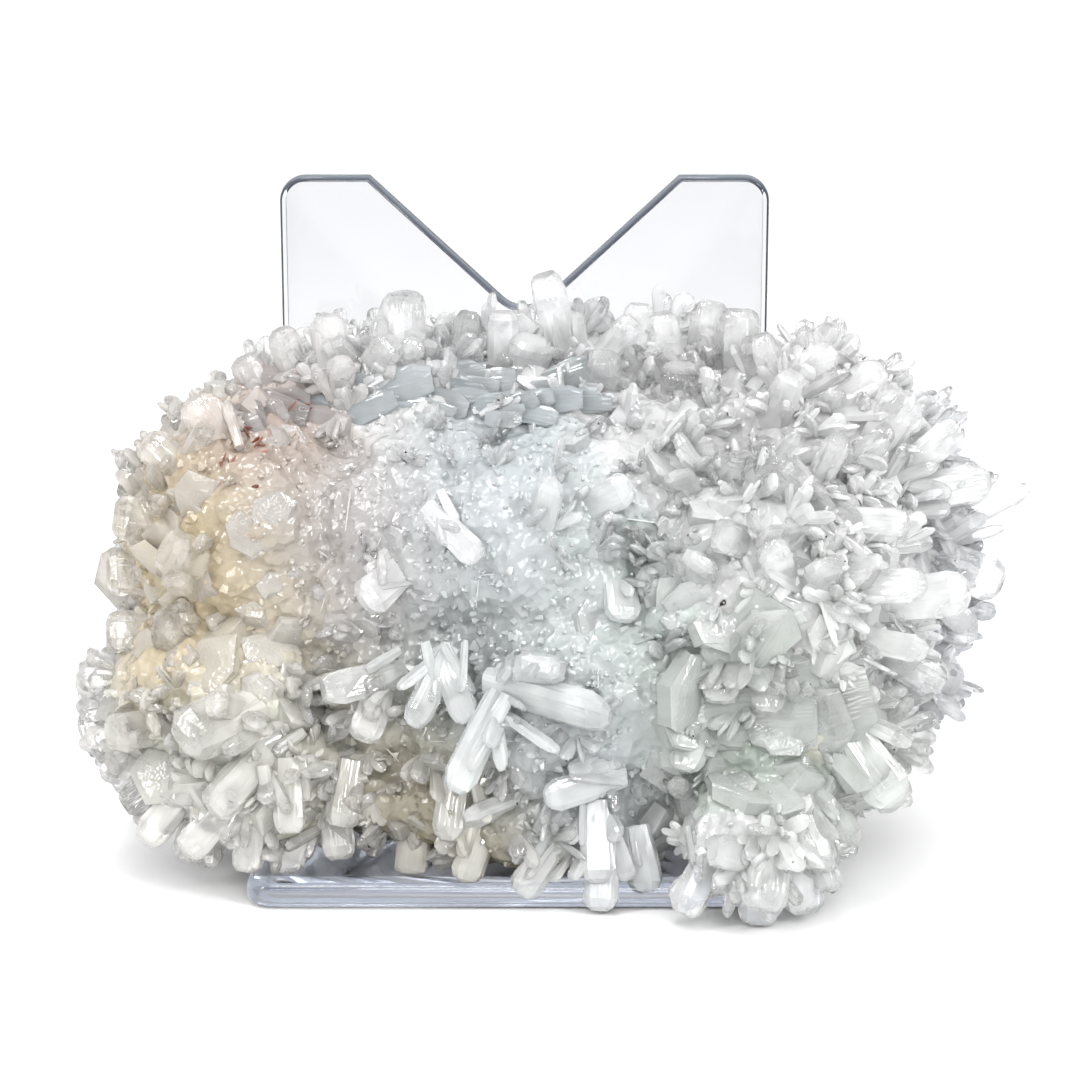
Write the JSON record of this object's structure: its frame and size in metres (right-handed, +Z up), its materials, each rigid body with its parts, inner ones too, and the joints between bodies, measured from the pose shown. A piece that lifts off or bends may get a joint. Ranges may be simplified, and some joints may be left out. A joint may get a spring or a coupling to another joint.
{
  "type": "apophyllite cluster on a display stand",
  "caption": "Apophyllite mineral cluster, clear to pale green and cream crystals over a sugary base, leaning on a clear acrylic stand with a notched back.",
  "frame": {"origin": "centre of the underside of the stand's base", "axes": "+Z up; +Y from the front edge of the base to its back; +X to the right as seen from the front"},
  "size_m": [0.1351, 0.0829, 0.095],
  "materials": {
    "crystal": "natural crystal faces, clear to milky, pale green and cream",
    "acrylic": "clear polished acrylic sheet"
  },
  "bodies": {
    "root": {"crystal_cluster": "crystal", "display_stand": "acrylic"}
  },
  "joints": []
}
